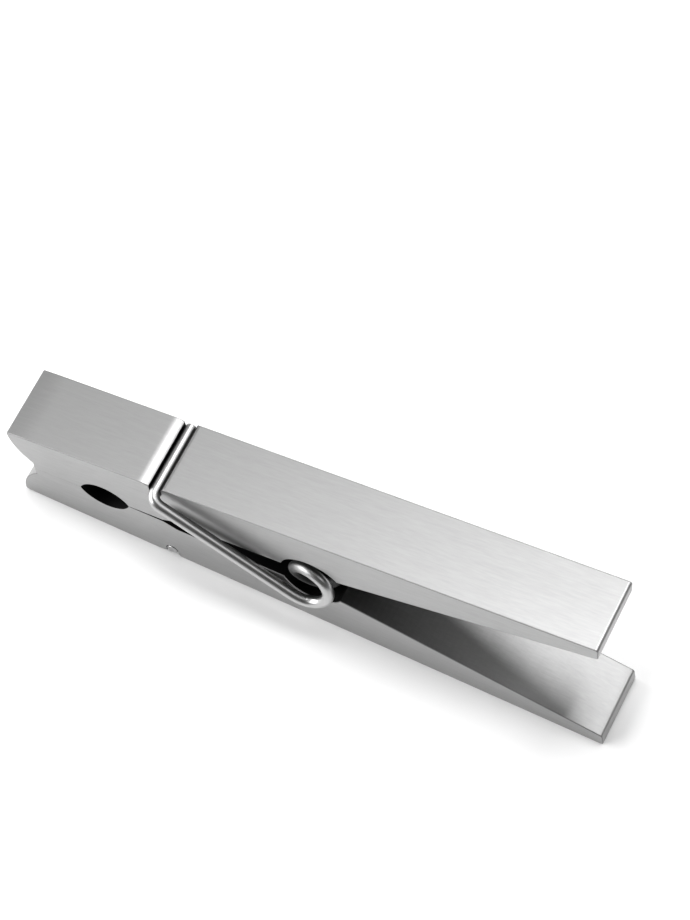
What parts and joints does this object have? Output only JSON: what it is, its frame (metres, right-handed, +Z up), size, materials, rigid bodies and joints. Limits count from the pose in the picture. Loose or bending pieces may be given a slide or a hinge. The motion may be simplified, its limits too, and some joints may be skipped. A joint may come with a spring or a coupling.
{
  "type": "spring clothespin",
  "caption": "Satin metal spring clothespin: two wedge-shaped levers parted by a clothesline hole and held shut by one torsion spring.",
  "frame": {"origin": "on the table, under the middle of the closed pin's bounding box", "axes": "+X from the jaws to the handles, +Y across the pin, +Z up from the lower lever's outer face"},
  "size_m": [0.081, 0.0146, 0.027],
  "materials": {
    "satin_metal": "satin, brushed along the length",
    "spring_wire": "polished"
  },
  "bodies": {
    "lower": {"lower_lever": "satin_metal", "spring_lower_arm": "spring_wire"},
    "upper": {"upper_lever": "satin_metal", "spring_upper_arm": "spring_wire"},
    "coil": {"spring_coil": "spring_wire"}
  },
  "joints": [
    {"name": "jaw_hinge", "type": "hinge", "parent": "lower", "child": "upper", "pos_m": [0.00124, 0, 0.0106], "axis": [0, 1, 0], "range_deg": [0, 31], "stiffness_Nm_per_rad": 0.5, "springref_deg": -34.38},
    {"name": "coil_wind", "type": "hinge", "parent": "lower", "child": "coil", "pos_m": [0.00124, 0, 0.0106], "axis": [0, 1, 0], "range_deg": [0, 15.5]}
  ],
  "couplings": [
    {"joint": "coil_wind", "follows": "jaw_hinge", "ratio": 0.5}
  ]
}
